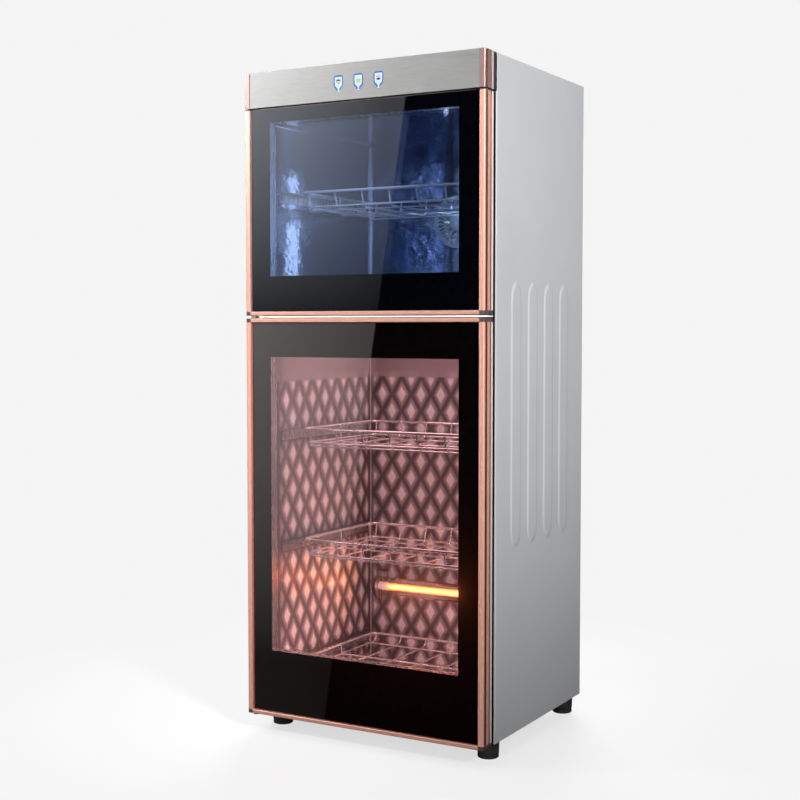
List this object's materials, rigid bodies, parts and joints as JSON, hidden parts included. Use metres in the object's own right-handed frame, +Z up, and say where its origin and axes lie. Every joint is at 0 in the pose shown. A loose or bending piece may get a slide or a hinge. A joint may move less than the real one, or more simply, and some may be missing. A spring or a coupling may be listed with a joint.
{
  "type": "dish sterilizer cabinet",
  "caption": "Tall free-standing dish sterilizer cabinet with a glass door on each compartment, sliding wire racks, an infrared heater, an ultraviolet lamp and a touch panel.",
  "frame": {"origin": "on the floor, under the centre of the whole cabinet", "axes": "+Z up, +Y from the doors to the back, +X to the right of someone who faces the doors"},
  "size_m": [0.45, 0.4, 1.12],
  "materials": {
    "body_paint": "satin silver-grey powder coat",
    "dark_paint": "dark satin paint",
    "rose_gold": "rose-gold anodised, fine satin",
    "panel_silver": "brushed along its length",
    "mauve_plastic": "moulded, dark mauve-brown",
    "black_plastic": "moulded, fine grain",
    "grey_plastic": "moulded",
    "white_plastic": "moulded",
    "key_lens": "translucent, lit from behind",
    "black_glass": "tempered, printed black around the window",
    "clear_glass": "tempered, clear",
    "quartz": "quartz, glowing",
    "lamp_glass": "clear tube, blue-white glow",
    "seal_rubber": "soft",
    "foot_rubber": "moulded",
    "steel": "zinc plated",
    "mirror_steel": "polished to a mirror",
    "embossed_steel": "polished, embossed with a diamond lattice",
    "wire_chrome": "plated",
    "ceramic_white": "unglazed",
    "fibre": "needled glass fibre",
    "brass": "turned",
    "circuit_board": "solder-masked"
  },
  "bodies": {
    "cabinet": {"base_pan": "steel", "control_board": "circuit_board", "door_switches": "black_plastic", "fan_guard": "steel", "fan_motor": "black_plastic", "feet": "foot_rubber", "foot_screws": "steel", "front_frame": "dark_paint", "heater_brackets": "steel", "heater_end_caps": "ceramic_white", "heater_reflector": "mirror_steel", "heater_tube": "quartz", "hinge_pins": "steel", "hinge_plates": "steel", "lower_insulation": "fibre", "lower_liner": "embossed_steel", "lower_liner_back": "embossed_steel", "lower_rack_runners": "steel", "mains_gland": "black_plastic", "middle_trim": "panel_silver", "ozone_generator": "white_plastic", "panel_end_trims": "rose_gold", "panel_fascia": "panel_silver", "panel_housing": "black_plastic", "power_board": "circuit_board", "rear_panel": "steel", "side_panel_left": "body_paint", "side_panel_right": "body_paint", "thermal_cutouts": "steel", "top_cover": "body_paint", "touch_keys": "key_lens", "upper_liner": "mirror_steel", "upper_liner_back": "mirror_steel", "upper_rack_runners": "steel", "uv_lamp_holders": "white_plastic", "uv_lamp_tube": "lamp_glass"},
    "upper_door": {"upper_door_corner_caps": "mauve_plastic", "upper_door_hinge_bushes": "brass", "upper_door_inner_glass": "clear_glass", "upper_door_inner_panel": "mirror_steel", "upper_door_outer_glass": "black_glass", "upper_door_rails": "rose_gold", "upper_door_seal": "seal_rubber", "upper_door_stiles": "rose_gold", "upper_door_window_frame": "black_plastic"},
    "lower_door": {"lower_door_corner_caps": "mauve_plastic", "lower_door_hinge_bushes": "brass", "lower_door_inner_glass": "clear_glass", "lower_door_inner_panel": "mirror_steel", "lower_door_outer_glass": "black_glass", "lower_door_rails": "rose_gold", "lower_door_seal": "seal_rubber", "lower_door_stiles": "rose_gold", "lower_door_window_frame": "black_plastic"},
    "fan": {"fan_impeller": "grey_plastic"},
    "lower_rack_bottom": {"lower_rack_bottom": "wire_chrome"},
    "lower_rack_middle": {"lower_rack_middle": "wire_chrome"},
    "lower_rack_top": {"lower_rack_top": "wire_chrome"},
    "upper_rack_bottom": {"upper_rack_bottom": "wire_chrome"},
    "upper_rack_top": {"upper_rack_top": "wire_chrome"}
  },
  "joints": [
    {"name": "upper_door_hinge", "type": "hinge", "parent": "cabinet", "child": "upper_door", "pos_m": [-0.216, -0.188, 0.886], "axis": [0, 0, -1], "range_deg": [0, 110]},
    {"name": "lower_door_hinge", "type": "hinge", "parent": "cabinet", "child": "lower_door", "pos_m": [-0.216, -0.188, 0.37], "axis": [0, 0, -1], "range_deg": [0, 110]},
    {"name": "lower_rack_bottom_slide", "type": "slide", "parent": "cabinet", "child": "lower_rack_bottom", "axis": [0, -1, 0], "range_m": [0, 0.131]},
    {"name": "lower_rack_middle_slide", "type": "slide", "parent": "cabinet", "child": "lower_rack_middle", "axis": [0, -1, 0], "range_m": [0, 0.131]},
    {"name": "lower_rack_top_slide", "type": "slide", "parent": "cabinet", "child": "lower_rack_top", "axis": [0, -1, 0], "range_m": [0, 0.131]},
    {"name": "upper_rack_bottom_slide", "type": "slide", "parent": "cabinet", "child": "upper_rack_bottom", "axis": [0, -1, 0], "range_m": [0, 0.131]},
    {"name": "upper_rack_top_slide", "type": "slide", "parent": "cabinet", "child": "upper_rack_top", "axis": [0, -1, 0], "range_m": [0, 0.131]},
    {"name": "fan_spin", "type": "hinge", "parent": "cabinet", "child": "fan", "pos_m": [-0.008, 0.174, 0.888], "axis": [0, -1, 0], "continuous": true}
  ],
  "couplings": [
    {"joint": "lower_rack_bottom_slide", "follows": "lower_door_hinge", "m_per_rad": 0.06771},
    {"joint": "lower_rack_middle_slide", "follows": "lower_door_hinge", "m_per_rad": 0.06771},
    {"joint": "lower_rack_top_slide", "follows": "lower_door_hinge", "m_per_rad": 0.06771},
    {"joint": "upper_rack_bottom_slide", "follows": "upper_door_hinge", "m_per_rad": 0.06771},
    {"joint": "upper_rack_top_slide", "follows": "upper_door_hinge", "m_per_rad": 0.06771}
  ]
}
